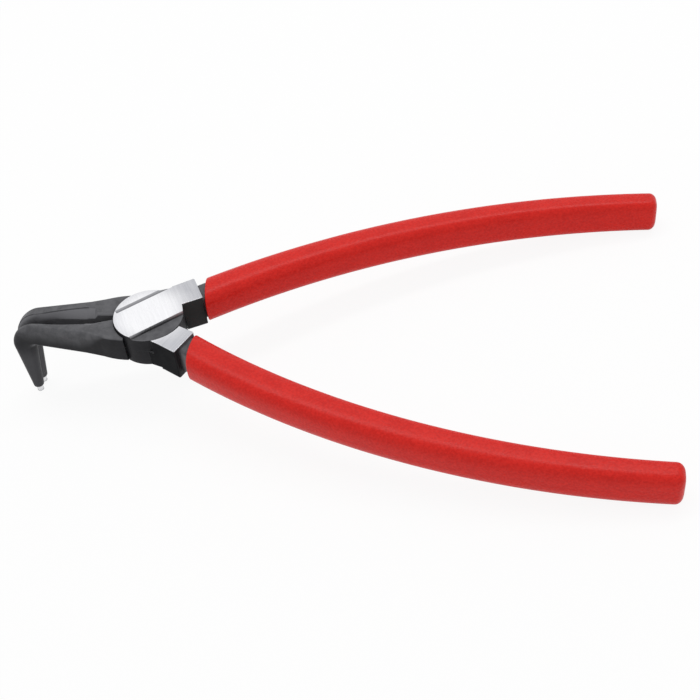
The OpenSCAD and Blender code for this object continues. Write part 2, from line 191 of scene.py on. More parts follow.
# Reach of cutters past the surface that they cut, the least width of a form, and the distance
# within which points are merged
OVER = 1
HAIRLINE = 0.02
MERGE_REACH = 0.001
# Least share that keeps the corner of an outline from running off when it is moved in
LEAST_MITRE = 0.3
# Angle from which an edge is shaded sharp
SHARP_ANGLE = 30

MID_Z = HEAD_T / 2
MOUTH_AT = NECK_END + MOUTH_GAP
BEND_A = JAW_REACH - LEG_ROOT_T - BEND_INNER_R
BEND_Z = -JAW_BOTTOM_BEND - BEND_INNER_R
TIP_REACH = JAW_REACH - TIP_INSET
TIP_Y = TIP_SPACING / 2

# Colours, linear
# Forged steel: FLAT, on faces that look up, is lighter than SIDE as painted light; each _LIGHT end
# is a random tone
FORGED_SIDE = (0.014, 0.014, 0.016)
FORGED_SIDE_LIGHT = (0.021, 0.021, 0.0235)
FORGED_FLAT = (0.085, 0.085, 0.091)
FORGED_FLAT_LIGHT = (0.128, 0.128, 0.136)
# INNER, BEVEL, LEG and TANG are painted light on shaded places of the forging; WEAR is real rubbing
# at its edges
FORGED_INNER = (0.11, 0.11, 0.117)
FORGED_BEVEL = (0.165, 0.165, 0.176)
FORGED_LEG = (0.06, 0.06, 0.065)
FORGED_TANG = (0.16, 0.16, 0.168)
FORGED_WEAR = (0.13, 0.13, 0.135)
# Neck sides: near-black as painted shade, with a lighter tone painted as light on the far neck
BLACK = (0.009, 0.009, 0.0105)
BLACK_PAINTED_LIT = (0.040, 0.042, 0.042)
GROUND_STEEL = (0.85, 0.85, 0.87)
GROUND_STEEL_DULL = (0.38, 0.385, 0.415)
MACHINED_STEEL = (0.30, 0.30, 0.31)
# Painted shade towards the foot of the groove and recess
MACHINED_PAINTED_SHADE = (0.07, 0.07, 0.075)
BRIGHT_STEEL = (0.78, 0.78, 0.79)
GRIP_RED = (0.69, 0.0165, 0.010)
GRIP_RED_DEEP = (0.575, 0.008, 0.004)
FLOOR_WHITE = (0.93, 0.93, 0.93)

# Heights in mm between which the legs grow lighter, as painted light
LEG_FADE = (2, -6)
# Places along X, in mm, between which the jaw begins and its side grows lighter from above as
# painted light, and the heights between which it does so at either end
JAW_FADE = (-7, -9)
SIDE_FADE = (-9, -18)
SIDE_FADE_ROOT = (8.2, 8.6)
SIDE_FADE_BEND = (1.8, 8.0)
# Places along X, in mm, between which the tang begins and takes its lighter colour, painted light
# where it lies in shade
TANG_FADE = (10, 12)
# Distances from the pivot, in mm, and how far the ground faces darken between them, a painted
# fall-off of their reflection
GROUND_FADE = (5, 14)
GROUND_PAINTED_DIM = 0.75
# Shares of a face's normal between which it counts as flat, as an inner side and as a bevel
FLAT_FADE = (0.12, 0.75)
INNER_FADE = (-0.3, -0.8)
BEVEL_SIDE_FADE = (-0.25, -0.5)
BEVEL_TOP_FADE = (0.3, 0.5)
# Agreement of the true and the softened normal between which an edge begins
EDGE_FADE = (0.99, 0.86)
# Spans of the noise that are spread over a change of finish, of tone and of wear
NOISE_SPAN = (0.3, 0.7)
TONE_SPAN = (0.36, 0.64)
WEAR_SPAN = (0.35, 0.75)
# How far the black of each neck is lifted to its lighter tone as painted light, and how far the
# bright steel of the spring has dulled
FAR_PAINTED_LIGHT = 0.9
NEAR_PAINTED_LIGHT = 0.0
SPRING_DULL = 0.4

# Studio, in metres and watts: light from all round, and the share of the floor's own white
AMBIENT = 0.68
FLOOR_GLOW = 0.9
FLOOR_SIZE = 20
TOP_BOX_PLACE = (-0.05, 0.25, 0.75)
TOP_BOX_AIM = (0.04, 0, 0)
TOP_BOX_SIZE = (0.9, 0.13)
TOP_BOX_POWER = 2.4

# Places of the levers' materials in their slots
FORGED_SLOT, BLACK_SLOT, GROUND_SLOT, MACHINED_SLOT = range(4)
# Shares of a face's normal: upright on a flat face, upright on a wall, and towards the neck's end
FLAT_UPRIGHT = 0.99
WALL_UPRIGHT = 0.5
END_FACING = 0.7


class Shader:
    """One material with a Principled shader, and short ways to add nodes to it."""

    def __init__(self, name):
        self.material = bpy.data.materials.new(name)
        self.material.use_nodes = True
        self.tree = self.material.node_tree
        self.surface = self.tree.nodes["Principled BSDF"]
        self.coords = self.tree.nodes.new("ShaderNodeTexCoord")

    def feed(self, socket, value):
        """Links a socket to another one, or sets it to a constant."""
        if isinstance(value, bpy.types.NodeSocket):
            self.tree.links.new(value, socket)
        elif hasattr(value, "__len__") and socket.type == "RGBA":
            socket.default_value = (*value, 1)
        else:
            socket.default_value = value

    def add(self, kind, inputs=(), out=0, **settings):
        """Adds a node, sets or links its inputs, and returns one of its outputs."""
        node = self.tree.nodes.new(kind)
        for key, value in settings.items():
            setattr(node, key, value)
        for key, value in inputs:
            self.feed(node.inputs[key], value)
        return node.outputs[out]

    def math(self, operation, a, b=0.0):
        return self.add("ShaderNodeMath", [(0, a), (1, b)], operation=operation)

    def ramp(self, value, low, high, to_low=0.0, to_high=1.0):
        """A value mapped smoothly from one span to another, and held outside it."""
        inputs = [("Value", value), ("From Min", low), ("From Max", high),
                  ("To Min", to_low), ("To Max", to_high)]
        return self.add("ShaderNodeMapRange", inputs, interpolation_type="SMOOTHSTEP")

    def fade(self, value, span):
        """A ramp from nothing to one between two distances in mm."""
        return self.ramp(value, span[0] * MM, span[1] * MM)

    def total(self, *terms):
        """The sum of values times their weights."""
        result, *others = (self.math("MULTIPLY", value, weight) for value, weight in terms)
        for other in others:
            result = self.math("ADD", result, other)
        return result

    def axis(self, vector, name):
        return self.add("ShaderNodeSeparateXYZ", [(0, vector)], out=name)

    def mix(self, factor, a, b):
        """A mix of two colours."""
        return self.add("ShaderNodeMix", [(0, factor), (6, a), (7, b)], out=2, data_type="RGBA")

    def between(self, factor, a, b):
        """A mix of two numbers."""
        return self.add("ShaderNodeMix", [(0, factor), (2, a), (3, b)], out=0, data_type="FLOAT")

    def place(self, turn=0.0, scale=(1, 1, 1)):
        """Object coordinates, turned about Z and then scaled."""
        turned = self.add("ShaderNodeMapping", [("Vector", self.coords.outputs["Object"]),
                                                ("Rotation", (0, 0, math.radians(-turn)))])
        return self.add("ShaderNodeMapping", [("Vector", turned), ("Scale", scale)])

    def noise(self, where, size, detail, roughness):
        """Noise with features of about a given size in mm."""
        inputs = [("Vector", where), ("Scale", 1 / (size * MM)),
                  ("Detail", detail), ("Roughness", roughness)]
        return self.add("ShaderNodeTexNoise", inputs)

    def bump(self, height, distance, strength):
        inputs = [("Height", height), ("Distance", distance * MM), ("Strength", strength)]
        return self.add("ShaderNodeBump", inputs)

    def edges(self, radius):
        """One along edges, fading to nothing a little way off."""
        soft = self.add("ShaderNodeBevel", [("Radius", radius * MM)], samples=4)
        true = self.add("ShaderNodeNewGeometry", out="Normal")
        same = self.add("ShaderNodeVectorMath", [(0, soft), (1, true)],
                        out="Value", operation="DOT_PRODUCT")
        return self.ramp(same, *EDGE_FADE)

    def finish(self, **values):
        """Feeds the shader's own sockets and returns the material."""
        for key, value in values.items():
            self.feed(self.surface.inputs[key.replace("_", " ")], value)
        return self.material


def forged_steel():
    """Dark phosphated forging, lighter on its flats, bevels, inner sides, legs and tang and up the
    jaw's side as painted light, and rubbed at its edges.
    """
    s = Shader("forged_steel")
    place = s.place()
    mottle = s.noise(place, 2.4, 4.0, 0.62)
    grain = s.noise(place, 0.22, 3.0, 0.6)
    tone = s.total((mottle, 0.7), (grain, 0.3))
    shade = s.ramp(tone, *TONE_SPAN)
    x, y, z = (s.axis(place, name) for name in "XYZ")
    across, upright = (s.axis(s.coords.outputs["Normal"], name) for name in "YZ")
    outward = s.math("MULTIPLY", s.math("SIGN", y), across)
    sides = s.mix(shade, FORGED_SIDE, FORGED_SIDE_LIGHT)
    # Painted light: the legs lighter towards their feet
    sides = s.mix(s.fade(z, LEG_FADE), sides, FORGED_LEG)
    # Painted light: the tang lighter where it lies in shade
    sides = s.mix(s.fade(x, TANG_FADE), sides, FORGED_TANG)
    # Painted light: inner sides lighter where they face each other in shade
    sides = s.mix(s.ramp(outward, *INNER_FADE), sides, FORGED_INNER)
    # Painted light: the jaw's side lighter towards its top
    along = s.fade(x, SIDE_FADE)
    low, high = (s.between(along, root * MM, bend * MM)
                 for root, bend in zip(SIDE_FADE_ROOT, SIDE_FADE_BEND))
    painted_light_from_above = s.math("MULTIPLY", s.ramp(z, low, high), s.fade(x, JAW_FADE))
    # Painted light: faces that look up take the lighter flat colour
    flat = s.ramp(s.math("ABSOLUTE", upright), *FLAT_FADE)
    painted_lightness = s.math("MAXIMUM", flat, painted_light_from_above)
    colour = s.mix(painted_lightness, sides, s.mix(shade, FORGED_FLAT, FORGED_FLAT_LIGHT))
    # Painted light on the bevels of the relief, which lie in shade
    inward, upward = s.ramp(outward, *BEVEL_SIDE_FADE), s.ramp(upright, *BEVEL_TOP_FADE)
    painted_bevel_light = s.math("MULTIPLY", inward, upward)
    colour = s.mix(painted_bevel_light, colour, FORGED_BEVEL)
    rubbed = s.math("MULTIPLY", s.edges(0.25), s.ramp(grain, *WEAR_SPAN, 0.0, 0.45))
    return s.finish(Base_Color=s.mix(rubbed, colour, FORGED_WEAR),
                    Roughness=s.ramp(grain, 0.25, 0.75, 0.42, 0.58),
                    Normal=s.bump(tone, 0.03, 0.4), Specular_IOR_Level=0.12)


def black_steel(name, painted_light):
    """Milled sides of the neck with fine upright milling lines, near-black as painted shade and
    lifted to a lighter tone as painted light by a given share.
    """
    s = Shader(name)
    lines = s.noise(s.place(scale=(1, 1, 0.04)), 0.3, 3.0, 0.6)
    cloud = s.noise(s.place(), 3.0, 3.0, 0.6)
    tone = s.total((lines, 0.5), (cloud, 0.5))
    # Painted shade and light: near-black, lifted towards the lighter tone by the given share
    colour = s.mix(s.ramp(tone, *TONE_SPAN, painted_light, painted_light + 0.25), BLACK, BLACK_PAINTED_LIT)
    rubbed = s.math("MULTIPLY", s.edges(0.2), s.ramp(cloud, *WEAR_SPAN, 0.0, 0.4))
    return s.finish(Base_Color=s.mix(rubbed, colour, FORGED_WEAR),
                    Roughness=s.ramp(lines, *NOISE_SPAN, 0.46, 0.6),
                    Normal=s.bump(lines, 0.006, 0.4), Specular_IOR_Level=0.02)


def ground_steel(name, turn):
    """Faces ground bright in fine lines, darker away from the pivot as a painted fall-off of their
    reflection.
    """
    s = Shader(name)
    lines = s.noise(s.place(turn, (1, 0.02, 1)), 0.07, 2.0, 0.6)
    broad = s.noise(s.place(turn, (1, 0.03, 1)), 0.6, 2.0, 0.5)
    cloud = s.noise(s.place(), 4.0, 2.0, 0.5)
    away = s.add("ShaderNodeVectorMath", [(0, s.place(scale=(1, 1, 0)))],
                 out="Value", operation="LENGTH")
    # Painted reflection fall-off: darker away from the pivot; the noise adds real unevenness of the
    # finish
    dull = s.ramp(away, GROUND_FADE[0] * MM, GROUND_FADE[1] * MM, 0.0, GROUND_PAINTED_DIM)
    for noise, low, high in ((lines, -0.08, 0.12), (broad, -0.05, 0.07), (cloud, -0.06, 0.06)):
        dull = s.math("ADD", dull, s.ramp(noise, *NOISE_SPAN, low, high))
    rough = s.math("ADD", s.ramp(lines, *NOISE_SPAN, 0.26, 0.34),
                   s.ramp(cloud, *NOISE_SPAN, -0.02, 0.03))
    return s.finish(Base_Color=s.mix(dull, GROUND_STEEL, GROUND_STEEL_DULL), Metallic=1.0,
                    Roughness=rough, Normal=s.bump(lines, 0.002, 0.35))


def machined_steel():
    """Milled walls of the groove and of the lowered side, darker towards the groove's foot as
    painted shade.
    """
    s = Shader("machined_steel")
    lines = s.noise(s.place(BAND_ANGLE, (0.03, 1, 1)), 0.12, 2.0, 0.6)
    cloud = s.noise(s.place(), 2.0, 2.0, 0.5)
    tone = s.math("ADD", s.ramp(lines, *NOISE_SPAN, 0.0, 0.35),
                  s.ramp(cloud, *NOISE_SPAN, 0.0, 0.3))
    # Painted shade: darker towards the foot of the groove and of the recess
    level = s.math("ABSOLUTE", s.math("SUBTRACT", s.axis(s.place(), "Z"), MID_Z * MM))
    deep = s.fade(level, (MID_Z, MID_Z - GROOVE_DEPTH))
    colour = s.mix(deep, s.mix(tone, MACHINED_STEEL, GROUND_STEEL_DULL), MACHINED_PAINTED_SHADE)
    return s.finish(Base_Color=colour, Metallic=1.0,
                    Roughness=s.ramp(lines, *NOISE_SPAN, 0.3, 0.42),
                    Normal=s.bump(lines, 0.003, 0.4))


def bright_steel(name, dull=0.0):
    """Turned or drawn steel with fine rings along its axis."""
    s = Shader(name)
    rings = s.noise(s.place(scale=(0.05, 0.05, 1)), 0.12, 3.0, 0.6)
    smear = s.noise(s.place(), 0.9, 3.0, 0.6)
    tone = s.mix(s.ramp(smear, *NOISE_SPAN, dull, dull + 0.3), BRIGHT_STEEL, GROUND_STEEL_DULL)
    return s.finish(Base_Color=tone, Metallic=1.0, Roughness=s.ramp(rings, *NOISE_SPAN, 0.16, 0.3),
                    Normal=s.bump(rings, 0.004, 0.4))


def grip_plastic():
    """Moulded plastic with a fine leathery grain, a little uneven in colour."""
    s = Shader("grip_plastic")
    place = s.place()
    grain = s.noise(place, 0.6, 3.0, 0.65)
    cells = s.add("ShaderNodeTexVoronoi", [("Vector", place), ("Scale", 1 / (0.6 * MM))],
                  feature="SMOOTH_F1")
    cloud = s.noise(place, 7, 3.0, 0.55)
    speck = s.noise(place, 0.2, 2.0, 0.5)
    tone = s.total((grain, 0.75), (cloud, 0.25))
    colour = s.mix(s.ramp(tone, 0.38, 0.62), GRIP_RED_DEEP, GRIP_RED)
    height = s.total((cells, -0.6), (grain, 0.8))
    matt = s.math("ADD", s.ramp(speck, *NOISE_SPAN, 0.30, 0.42),
                  s.ramp(cloud, *NOISE_SPAN, -0.03, 0.03))
    return s.finish(Base_Color=colour, Roughness=matt, Normal=s.bump(height, 0.12, 0.6),
                    Specular_IOR_Level=0.22)


def floor_white():
    """Pale floor that the camera sees as white, with part of the object's shadow left on it."""
    s = Shader("floor_white")
    s.finish(Base_Color=FLOOR_WHITE, Roughness=0.9, Specular_IOR_Level=0.1)
    path = s.tree.nodes.new("ShaderNodeLightPath")
    seen = s.math("MAXIMUM", path.outputs["Is Camera Ray"], path.outputs["Is Glossy Ray"])
    seen = s.math("MAXIMUM", seen, path.outputs["Is Transmission Ray"])
    glow = s.add("ShaderNodeEmission", [("Color", (1, 1, 1)), ("Strength", 1.0)])
    share = s.math("MULTIPLY", seen, FLOOR_GLOW)
    both = s.add("ShaderNodeMixShader", [(0, share), (1, s.surface.outputs[0]), (2, glow)])
    s.feed(s.tree.nodes["Material Output"].inputs["Surface"], both)
    return s.material


def lerp(a, b, t):
    return a + (b - a) * t


def part_of(a, low, high):
    return max(0.0, min(1.0, (a - low) / (high - low)))


def polar(r, degrees):
    return r * math.cos(math.radians(degrees)), r * math.sin(math.radians(degrees))


def bowed(share, square):
    """Share of a half width on an oval whose corners are fuller the greater its squareness."""
    return math.copysign(abs(share) ** (2 / square), share)


def corner(centre, r, start, steps=CORNER_STEPS):
    """Quarter turn of points about a centre, by a radius or a width, a height and a squareness."""
    wide, high, square = r if isinstance(r, tuple) else (r, r, 2)
    turns = [polar(1, start + 90 * i / steps) for i in range(steps + 1)]
    return [(centre[0] + wide * bowed(x, square), centre[1] + high * bowed(y, square))
            for x, y in turns]


def loft(rings):
    """Closed solid, in mm, through a row of rings that have equal numbers of points."""
    bm = bmesh.new()
    rows = [[bm.verts.new(p) for p in ring] for ring in rings]
    count = len(rings[0])
    for low, high in zip(rows, rows[1:]):
        for j in range(count):
            k = (j + 1) % count
            bm.faces.new((low[j], low[k], high[k], high[j]))
    bm.faces.new(rows[0][::-1])
    bm.faces.new(rows[-1])
    bmesh.ops.recalc_face_normals(bm, faces=bm.faces)
    mesh = bpy.data.meshes.new("solid")
    bm.to_mesh(mesh)
    bm.free()
    solid = bpy.data.objects.new("solid", mesh)
    bpy.context.scene.collection.objects.link(solid)
    return solid


def change(solid, operation, other):
    """Unites a solid with another, or cuts the other from it. The other is used up."""
    step = solid.modifiers.new("change", "BOOLEAN")
    step.operation = operation
    step.solver = "EXACT"
    step.object = other
    changed = solid.evaluated_get(bpy.context.evaluated_depsgraph_get())
    shape = bpy.data.meshes.new_from_object(changed)
    solid.modifiers.clear()
    solid.data = shape
    bpy.data.objects.remove(other)
    return solid


def moved(solid, matrix):
    solid.data.transform(matrix)
    if matrix.determinant() < 0:
        solid.data.flip_normals()
    return solid


def disc_ring(r, z):
    return [(*polar(r, NECK_ANGLE + 360 * i / DISC_STEPS), z) for i in range(DISC_STEPS)]


def round_bar(levels):
    """Round solid about Z, through pairs of radius and height."""
    return loft([disc_ring(r, z) for r, z in levels])


def inset(outline, d):
    """Outline moved in by a distance. Its points run against the clock."""
    result = []
    for i, p in enumerate(outline):
        before, after = Vector(outline[i - 1]), Vector(outline[(i + 1) % len(outline)])
        a, b = (Vector(p) - before).normalized(), (after - Vector(p)).normalized()
        mean = (Vector((-a.y, a.x)) + Vector((-b.y, b.x))).normalized()
        result.append(Vector(p) + mean * d / max(LEAST_MITRE, mean.dot(Vector((-a.y, a.x)))))
    return result


def broken_prism(outline, low, high, r):
    """Upright prism whose upper and lower edges are rounded a little."""
    turns = [math.radians(90 * i / ROUND_STEPS) for i in range(ROUND_STEPS + 1)]
    rings = []
    for level, way in ((low, 1), (high, -1)):
        stack = []
        for t in turns:
            ring = inset(outline, r * (1 - math.sin(t)))
            z = level + way * r * (1 - math.cos(t))
            stack.append([(p.x, p.y, z) for p in ring])
        rings += stack[::way]
    return loft(rings)


def rounded_corner(before, at, after, r):
    """Points that round one corner of an outline."""
    p = Vector(at)
    a, b = (Vector(before) - p).normalized(), (Vector(after) - p).normalized()
    half = a.angle(b) / 2
    centre = p + (a + b).normalized() * r / math.sin(half)
    start, end = p + a * r / math.tan(half) - centre, p + b * r / math.tan(half) - centre
    turn = start.angle_signed(end)
    return [centre + Matrix.Rotation(-turn * i / NECK_CORNER_STEPS, 2) @ start
            for i in range(NECK_CORNER_STEPS + 1)]


def neck_prism():
    foot, end = (0, -NECK_INNER), (NECK_END, -NECK_INNER)
    outer, flare = (NECK_END, NECK_OUTER + NECK_FLARE), (NECK_FLARE_FROM, NECK_OUTER)
    outline = [Vector(foot)] + rounded_corner(foot, end, outer, NECK_CORNER_R)
    outline += rounded_corner(end, outer, flare, NECK_CORNER_R)
    outline += [Vector(flare), Vector((0, NECK_OUTER))]
    turn = Matrix.Rotation(math.radians(NECK_ANGLE), 2)
    return broken_prism([turn @ p for p in outline], -MID_Z, MID_Z, EDGE_BREAK)


def on_handle(s, across, z, slanted=False):
    """Point at a distance along the handle's arc from the grip's mouth, and across it."""
    u, v = Vector(polar(1, NECK_ANGLE)), Vector(polar(1, NECK_ANGLE + 90))
    centre = MOUTH_AT * u + HANDLE_SIDE * v + Vector(polar(HANDLE_R, HANDLE_ANGLE - 90))
    if slanted:
        s += across * math.tan(math.radians(GRIP_SLANT)) * max(0, 1 - s / GRIP_SLANT_LEN)
    x, y = polar(HANDLE_R + across, 90 + HANDLE_ANGLE - math.degrees(s / HANDLE_R))
    return centre.x + x, centre.y + y, z


def rounded_square(w, h, r, sides):
    """Section with rounded corners, as points against the clock."""
    steps = sides // 4 - 1
    x, y = w / 2 - r, h / 2 - r
    quarters = (((x, y), 0), ((-x, y), 90), ((-x, -y), 180), ((x, -y), 270))
    return [p for centre, start in quarters for p in corner(centre, r, start, steps)]


def tang_bar():
    section = rounded_square(TANG_W, TANG_T, TANG_EDGE_R, TANG_SIDES)
    low, high = -MOUTH_GAP - TANG_BED, GRIP_LEN - GRIP_END_WALL - GRIP_GAP
    stations = [lerp(low, high, i / TANG_STEPS) for i in range(TANG_STEPS + 1)]
    return loft([[on_handle(s, *p) for p in section] for s in stations])


def band_prism(section, low, high):
    """Prism along the joint's band, from a section of distances across it and heights."""
    turn = Matrix.Rotation(math.radians(BAND_ANGLE), 3, "Z")
    return loft([[turn @ Vector((along, across, z)) for across, z in section]
                 for along in (low, high)])


def recess_cutter():
    """The lowered side of the joint face."""
    reach, top = DISC_R + OVER, MID_Z + OVER
    recess = [(-RECESS_OFFSET + RECESS_SLOPE * OVER / RECESS_DEPTH, top), (-reach, top),
              (-reach, MID_Z - RECESS_DEPTH), (-RECESS_OFFSET - RECESS_SLOPE, MID_Z - RECESS_DEPTH)]
    return band_prism(recess, -reach, reach)


def groove_cutter(grown=0.0):
    """The groove across the joint face, closed at one end, or one that is a little larger."""
    top, wall, foot = MID_Z + OVER, GROOVE_OFFSET - grown, MID_Z - GROOVE_DEPTH - grown
    ramp_end = GROOVE_OFFSET + GROOVE_RAMP * (1 + OVER / GROOVE_DEPTH) + 2 * grown
    groove = [(wall, top), (wall, foot), (ramp_end, top)]
    groove_half = math.sqrt(DISC_R ** 2 - GROOVE_OFFSET ** 2) - GROOVE_RIM + grown
    return band_prism(groove, -groove_half, DISC_R + OVER)


def shoulder(r):
    """Hollow for the other lever's disc, below the lap plane."""
    return round_bar([(r, -MID_Z - OVER), (r, LAP_GAP / 2)])


def spring_slot(angle):
    width = WIRE_D + 2 * SPRING_GAP
    side, length = COIL_D / 2 - width / 2, SPRING_LEG + SPRING_GAP
    turn = Matrix.Rotation(math.radians(angle), 3, "Z")
    corners = ((side, 0), (side + width, 0), (side + width, length), (side, length))
    return loft([[turn @ Vector((x, y, z)) for x, y in corners]
                 for z in (-HAIRLINE, CHAMBER_DEPTH)])


def lever_blank(shoulder_gap, slot_angle):
    """Disc, neck and tang about the lap plane, with the disc above it."""
    turns = [polar(1, 90 * i / ROUND_STEPS) for i in range(ROUND_STEPS + 1)]
    rim = [(DISC_R - EDGE_BREAK * (1 - x), MID_Z - EDGE_BREAK * (1 - z)) for x, z in turns]
    blank = round_bar([(DISC_R, 0)] + rim)
    change(blank, "UNION", neck_prism())
    change(blank, "UNION", tang_bar())
    chamber_r = COIL_D / 2 + WIRE_D / 2 + 2 * SPRING_GAP
    chamber = round_bar([(chamber_r, -HAIRLINE), (chamber_r, CHAMBER_DEPTH)])
    cutters = [shoulder(DISC_R + shoulder_gap), recess_cutter(), groove_cutter()]
    for cutter in (*cutters, chamber, spring_slot(slot_angle)):
        change(blank, "DIFFERENCE", cutter)
    return blank


def jaw_section(inner, outer, low, high, relieved, edge, rounded, step):
    """Points of the jaw's section. The relieved inner top edge ends in a fine step."""
    return (corner((outer - edge, high - rounded), (edge, rounded, 2), 0)
            + [(inner + relieved[0] + step * STEP_LEAN, high)]
            + corner((inner + relieved[0], high - step - relieved[1]), relieved, 90)
            + corner((inner + edge, low + edge), edge, 180)
            + corner((outer - edge, low + edge), edge, 270))


def jaw_side(a):
    bulge = (a - (JAW_ROOT + JAW_TAPER_FROM) / 2) / ((JAW_TAPER_FROM - JAW_ROOT) / 2)
    side = lerp(JAW_SIDE_ROOT, JAW_SIDE_BEND, (a - JAW_TAPER_FROM) / (BEND_A - JAW_TAPER_FROM))
    return side + JAW_SWELL * max(0, 1 - bulge * bulge)


def jaw_inner(a):
    closing = part_of(a, SLOT_TO, BEND_A)
    return lerp(SLOT_HALF, JAW_GAP / 2, (1 - math.cos(math.pi * closing)) / 2)


def jaw_edge(a):
    return lerp(JAW_EDGE_ROOT, JAW_EDGE_BEND, part_of(a, JAW_TAPER_FROM, JAW_EDGE_TO))


def jaw_round(a):
    return lerp(JAW_EDGE_ROOT, JAW_ROUND_BEND, part_of(a, JAW_TAPER_FROM, JAW_EDGE_TO))


def relief(a, form):
    """Width, depth and squareness of the relieved inner top edge."""
    along = part_of(a, FLAT_END, BEND_A) ** RELIEF_BOW
    upper = lerp(form.upper, form.upper_bend, along)
    wide = min(upper, jaw_side(a) - jaw_edge(a) - FLAT_STEP) - jaw_inner(a)
    deep = lerp(form.depth, form.depth_bend, along)
    share = part_of(a, form.start, RELIEF_FULL)
    return lerp(form.edge, wide, share), lerp(form.edge, deep, share), RELIEF_SQUARE


def straight_ring(a, form):
    along = part_of(a, JAW_ROOT, BEND_A)
    top = lerp(JAW_TOP_ROOT, JAW_TOP_BEND, along)
    bottom = -lerp(JAW_BOTTOM_ROOT, JAW_BOTTOM_BEND, along)
    step = FLAT_STEP if a > FLAT_END else HAIRLINE
    edges = relief(a, form), jaw_edge(a), jaw_round(a), step
    section = jaw_section(jaw_inner(a), jaw_side(a), bottom, top, *edges)
    return [(-a, y, z) for y, z in section]


def bend_ring(t, form):
    share = t / 90
    wide, high = JAW_REACH - BEND_A, JAW_TOP_BEND - BEND_Z
    sin, cos = math.sin(math.radians(t)), math.cos(math.radians(t))
    reach = ((sin / wide) ** BEND_SQUARE + max(0, cos / high) ** BEND_SQUARE) ** (-1 / BEND_SQUARE)
    side = lerp(JAW_SIDE_BEND, LEG_ROOT_SIDE, share)
    leg_edge = LEG_ROOT_SIDE / 2 - JAW_GAP / 2
    edge, rounded = lerp(JAW_EDGE_BEND, leg_edge, share), lerp(JAW_ROUND_BEND, leg_edge, share)
    wide, deep, square = relief(BEND_A, form)
    relieved = lerp(wide, leg_edge, share), lerp(deep, leg_edge, share), lerp(square, 2, share)
    step = lerp(FLAT_STEP, HAIRLINE, share)
    section = jaw_section(JAW_GAP / 2, side, BEND_INNER_R, reach, relieved, edge, rounded, step)
    return [(-BEND_A - r * sin, y, BEND_Z + r * cos) for y, r in section]


def leg_ring(t, trim=0.0, drop=0.0):
    r = LEG_END_D / 2
    inner = lerp(JAW_GAP / 2, TIP_Y - r, t) + trim
    outer = lerp(LEG_ROOT_SIDE, TIP_Y + r, t) - trim
    back = lerp(BEND_A + BEND_INNER_R, TIP_REACH - r, t) + trim
    front = lerp(JAW_REACH, TIP_REACH + r, t) - trim
    half = min(outer - inner, front - back) / 2 - HAIRLINE
    edge = min(half, lerp(LEG_ROOT_SIDE / 2 - JAW_GAP / 2, half, t))
    z = lerp(BEND_Z, -LEG_DEPTH + LEG_END_R, t) - drop
    section = jaw_section(inner, outer, back, front, (edge, edge, 2), edge, edge, HAIRLINE)
    return [(-x, y, z) for y, x in section]


def steps_between(low, high, count):
    return [lerp(low, high, i / count) for i in range(count)]


def jaw(form, hollow_above):
    """Jaw and leg on the +Y side, hollowed for the other lever's disc and drilled for its pin."""
    stretches = ((JAW_ROOT, form.start), (form.start, RELIEF_FULL),
                 (RELIEF_FULL, FLAT_END), (FLAT_END + HAIRLINE, BEND_A))
    rings = [straight_ring(a, form) for ends, count in zip(stretches, JAW_STEPS)
             for a in steps_between(*ends, count)]
    rings += [bend_ring(t, form) for t in steps_between(0, 90, BEND_STEPS)]
    rings += [leg_ring(t) for t in steps_between(0, 1, LEG_STEPS)]
    turns = [math.radians(90 * i / LEG_END_STEPS) for i in range(LEG_END_STEPS + 1)]
    rings += [leg_ring(1, LEG_END_R * (1 - math.cos(t)), LEG_END_R * math.sin(t)) for t in turns]
    solid = loft(rings)
    hole_r = TIP_SHANK_D / 2 + SET_GAP
    hole = round_bar([(hole_r, -OVER), (hole_r, TIP_SHANK_LEN + SET_GAP)])
    hollow = shoulder(DISC_R + JAW_HOLLOW_GAP)
    if hollow_above:
        moved(hollow, Matrix.Scale(-1, 4, (0, 0, 1)))
    change(solid, "DIFFERENCE", moved(hole, Matrix.Translation((-TIP_REACH, TIP_Y, -LEG_DEPTH))))
    return change(solid, "DIFFERENCE", hollow)


def lever_material(centre, normal, side):
    """Which finish a face of a lever has. Side is -1 for the lever that is turned over."""
    x, y, z = centre.x, centre.y * side, (centre.z - MID_Z) * side
    upright = abs(normal.z)
    band = math.radians(BAND_ANGLE)
    across = y * math.cos(band) - x * math.sin(band)
    neck = math.radians(NECK_ANGLE)
    along_neck = x * math.cos(neck) + y * math.sin(neck)
    if x > -JAW_REACH / 2 and abs(z) > MID_Z - EDGE_BREAK:
        return GROUND_SLOT
    in_disc = math.hypot(x, y) < DISC_R and z > MID_Z - RECESS_DEPTH - HAIRLINE
    by_recess = -RECESS_OFFSET - RECESS_SLOPE < across < -RECESS_OFFSET + HAIRLINE
    if in_disc and upright < FLAT_UPRIGHT and by_recess:
        return MACHINED_SLOT
    if in_disc and across > GROOVE_OFFSET - HAIRLINE and z > MID_Z - GROOVE_DEPTH - HAIRLINE:
        return MACHINED_SLOT
    to_end = normal.x * math.cos(neck) + normal.y * side * math.sin(neck)
    on_neck = x > 0 and along_neck < NECK_END + HAIRLINE and math.hypot(x, y) > DISC_R + HAIRLINE
    if on_neck and upright < WALL_UPRIGHT and to_end < END_FACING:
        return BLACK_SLOT
    return FORGED_SLOT


